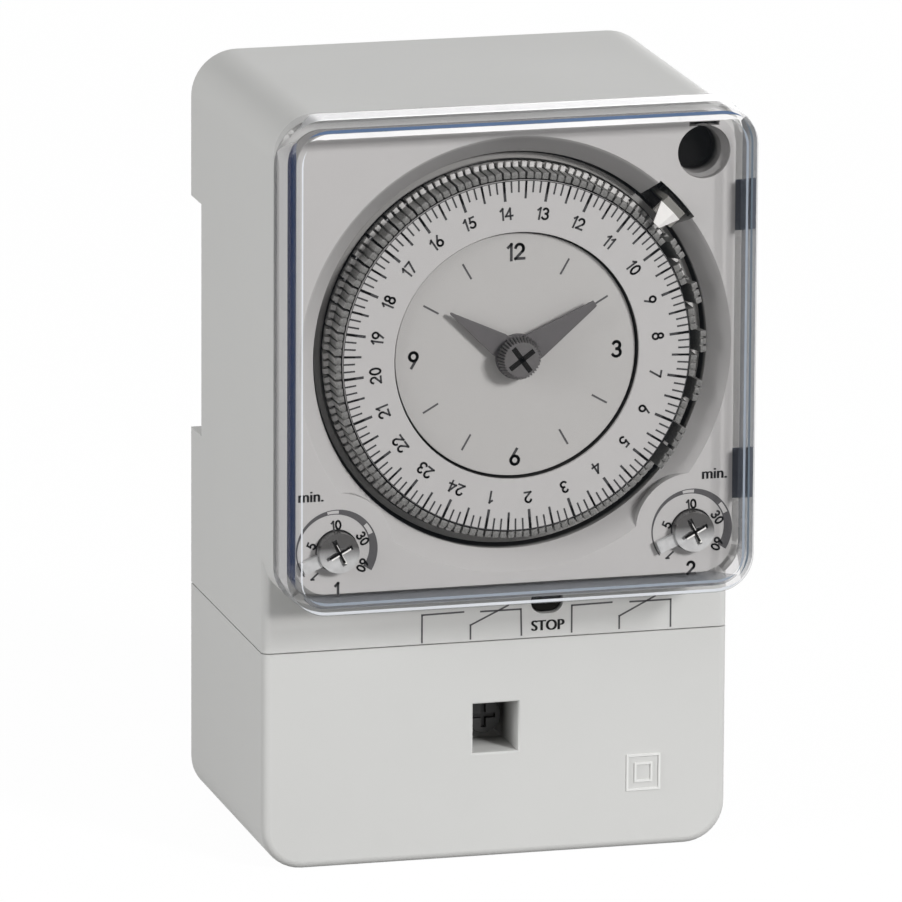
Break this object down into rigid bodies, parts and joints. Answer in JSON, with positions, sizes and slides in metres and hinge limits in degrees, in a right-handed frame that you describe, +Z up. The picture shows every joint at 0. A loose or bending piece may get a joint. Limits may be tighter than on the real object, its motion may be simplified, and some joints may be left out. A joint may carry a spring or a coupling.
{
  "type": "defrost timer switch",
  "caption": "Box-shaped time switch with a clear cover over a day dial ringed by tilting tappets, a small clock, delay trimmers and a removable terminal cover, for rail mounting.",
  "frame": {"origin": "middle of the foot on which the timer stands upright, half way through its depth", "axes": "+Z up, -Y towards the viewer who reads the dial, +X to that viewer's right"},
  "size_m": [0.072, 0.062, 0.1171],
  "materials": {
    "housing_plastic": "fine moulded texture",
    "plate_plastic": "satin moulded",
    "clear_plastic": "clear, polished",
    "dial_plastic": "satin, printed",
    "tappet_plastic": "satin moulded",
    "hand_plastic": "satin moulded",
    "lever_plastic": "satin moulded",
    "pointer_plastic": "satin moulded",
    "dark_plastic": "satin moulded",
    "block_plastic": "satin moulded",
    "trimmer_plastic": "moulded",
    "relay_plastic": "moulded",
    "capacitor_plastic": "dipped",
    "board_laminate": "lacquered laminate",
    "steel": "bright",
    "black_steel": "blackened",
    "brass": "machined"
  },
  "bodies": {
    "base": {"housing": "housing_plastic", "base_plate": "housing_plastic", "housing_screws": "steel", "front_plate": "plate_plastic", "terminal_block": "block_plastic", "terminal_clamps": "brass", "terminal_screws": "steel", "terminal_strips": "brass", "rail_foot_spring": "steel", "control_board": "board_laminate", "board_screws": "steel", "relay_1": "relay_plastic", "relay_2": "relay_plastic", "capacitor": "capacitor_plastic", "trimmer_bodies": "trimmer_plastic", "stop_switch": "dark_plastic", "movement_front_plate": "brass", "movement_rear_plate": "brass", "movement_pillars": "brass", "dial_bridge": "brass", "train_pins": "steel", "motor": "steel", "centre_dial": "dial_plastic", "lever_pin": "steel", "snap_switch": "dark_plastic"},
    "cover": {"clear_cover": "clear_plastic"},
    "terminal_hood": {"terminal_cover": "housing_plastic", "terminal_cover_screw": "black_steel"},
    "foot": {"rail_foot": "dark_plastic"},
    "minute_train": {"minute_arbor": "steel", "cannon_pinion": "brass", "centre_wheel": "brass", "minute_hand": "hand_plastic", "setting_knob": "hand_plastic"},
    "hour_train": {"hour_wheel": "brass", "hour_hand": "hand_plastic"},
    "program_dial": {"program_ring": "dial_plastic", "program_wheel": "brass", "tappet_wire": "steel", "tappets_unset": "tappet_plastic"},
    "motion": {"motion_wheel": "brass"},
    "idler": {"idler_wheel": "brass"},
    "motor_rotor": {"motor_pinion": "brass"},
    "lever": {"switch_lever": "lever_plastic", "index_pointer": "pointer_plastic"},
    "plunger": {"switch_button": "dark_plastic"},
    "delay_1": {"delay_knob_1": "clear_plastic"},
    "delay_2": {"delay_knob_2": "clear_plastic"},
    "stop": {"stop_button": "dark_plastic"},
    "tappet_1": {"tappet_1": "tappet_plastic"},
    "tappet_2": {"tappet_2": "tappet_plastic"},
    "tappet_3": {"tappet_3": "tappet_plastic"},
    "tappet_4": {"tappet_4": "tappet_plastic"},
    "tappet_5": {"tappet_5": "tappet_plastic"},
    "tappet_6": {"tappet_6": "tappet_plastic"},
    "tappet_7": {"tappet_7": "tappet_plastic"},
    "tappet_8": {"tappet_8": "tappet_plastic"},
    "tappet_9": {"tappet_9": "tappet_plastic"},
    "tappet_10": {"tappet_10": "tappet_plastic"}
  },
  "joints": [
    {"name": "cover_pull", "type": "slide", "parent": "base", "child": "cover", "axis": [0, -1, 0], "range_m": [0, 0.03]},
    {"name": "terminal_cover_pull", "type": "slide", "parent": "base", "child": "terminal_hood", "axis": [0, -1, 0], "range_m": [0, 0.05]},
    {"name": "foot_slide", "type": "slide", "parent": "base", "child": "foot", "axis": [0, 0, -1], "range_m": [0, 0.004], "stiffness_N_per_m": 800, "springref_m": -0.003, "deforming": ["rail_foot_spring"]},
    {"name": "minute_spin", "type": "hinge", "parent": "base", "child": "minute_train", "pos_m": [0, 0, 0.0798], "axis": [0, 1, 0], "continuous": true},
    {"name": "hour_spin", "type": "hinge", "parent": "base", "child": "hour_train", "pos_m": [0, 0, 0.0798], "axis": [0, 1, 0], "continuous": true},
    {"name": "ring_spin", "type": "hinge", "parent": "base", "child": "program_dial", "pos_m": [0, 0, 0.0798], "axis": [0, 1, 0], "continuous": true},
    {"name": "motion_spin", "type": "hinge", "parent": "base", "child": "motion", "pos_m": [-0.012, 0, 0.0798], "axis": [0, 1, 0], "continuous": true},
    {"name": "idler_spin", "type": "hinge", "parent": "base", "child": "idler", "pos_m": [0.015, 0, 0.0798], "axis": [0, 1, 0], "continuous": true},
    {"name": "motor_spin", "type": "hinge", "parent": "base", "child": "motor_rotor", "pos_m": [0, 0, 0.0978], "axis": [0, 1, 0], "continuous": true},
    {"name": "lever_swing", "type": "hinge", "parent": "base", "child": "lever", "pos_m": [0.0295, 0, 0.0952], "axis": [0, 1, 0], "range_deg": [0, 5], "stiffness_Nm_per_rad": 0.02, "springref_deg": -2.86},
    {"name": "button_press", "type": "slide", "parent": "base", "child": "plunger", "axis": [0.7396, 0, 0.673], "range_m": [0, 0.001]},
    {"name": "delay_1_turn", "type": "hinge", "parent": "base", "child": "delay_1", "pos_m": [-0.0273, 0, 0.0516], "axis": [0, 1, 0], "range_deg": [0, 240]},
    {"name": "delay_2_turn", "type": "hinge", "parent": "base", "child": "delay_2", "pos_m": [0.0273, 0, 0.0516], "axis": [0, 1, 0], "range_deg": [0, 240]},
    {"name": "stop_press", "type": "slide", "parent": "base", "child": "stop", "axis": [0, 1, 0], "range_m": [0, 0.0012], "stiffness_N_per_m": 800, "springref_m": -0.0005},
    {"name": "tappet_1_tilt", "type": "hinge", "parent": "program_dial", "child": "tappet_1", "pos_m": [0.02335, -0.0186, 0.09386], "axis": [-0.5158, 0, 0.8567], "range_deg": [-14.48, 0]},
    {"name": "tappet_2_tilt", "type": "hinge", "parent": "program_dial", "child": "tappet_2", "pos_m": [0.02498, -0.0186, 0.09069], "axis": [-0.3995, 0, 0.9167], "range_deg": [0, 14.48]},
    {"name": "tappet_3_tilt", "type": "hinge", "parent": "program_dial", "child": "tappet_3", "pos_m": [0.02619, -0.0186, 0.08733], "axis": [-0.2765, 0, 0.961], "range_deg": [-14.48, 0]},
    {"name": "tappet_4_tilt", "type": "hinge", "parent": "program_dial", "child": "tappet_4", "pos_m": [0.02695, -0.0186, 0.08385], "axis": [-0.1487, 0, 0.9889], "range_deg": [0, 14.48]},
    {"name": "tappet_5_tilt", "type": "hinge", "parent": "program_dial", "child": "tappet_5", "pos_m": [0.02725, -0.0186, 0.0803], "axis": [-0.0183, 0, 0.9998], "range_deg": [-14.48, 0]},
    {"name": "tappet_6_tilt", "type": "hinge", "parent": "program_dial", "child": "tappet_6", "pos_m": [0.02708, -0.0186, 0.07674], "axis": [0.1123, 0, 0.9937], "range_deg": [0, 14.48]},
    {"name": "tappet_7_tilt", "type": "hinge", "parent": "program_dial", "child": "tappet_7", "pos_m": [0.02645, -0.0186, 0.07323], "axis": [0.2411, 0, 0.9705], "range_deg": [-14.48, 0]},
    {"name": "tappet_8_tilt", "type": "hinge", "parent": "program_dial", "child": "tappet_8", "pos_m": [0.02536, -0.0186, 0.06983], "axis": [0.3657, 0, 0.9307], "range_deg": [0, 14.48]},
    {"name": "tappet_9_tilt", "type": "hinge", "parent": "program_dial", "child": "tappet_9", "pos_m": [0.02384, -0.0186, 0.06661], "axis": [0.484, 0, 0.875], "range_deg": [-14.48, 0]},
    {"name": "tappet_10_tilt", "type": "hinge", "parent": "program_dial", "child": "tappet_10", "pos_m": [0.02192, -0.0186, 0.06361], "axis": [0.5941, 0, 0.8044], "range_deg": [-14.48, 0]}
  ],
  "couplings": [
    {"joint": "hour_spin", "follows": "minute_spin", "ratio": 0.083333},
    {"joint": "ring_spin", "follows": "minute_spin", "ratio": 0.041667},
    {"joint": "motion_spin", "follows": "minute_spin", "ratio": -0.33333},
    {"joint": "idler_spin", "follows": "minute_spin", "ratio": -0.083333},
    {"joint": "motor_spin", "follows": "minute_spin", "ratio": -5},
    {"joint": "button_press", "follows": "lever_swing", "m_per_rad": 0.00846}
  ]
}
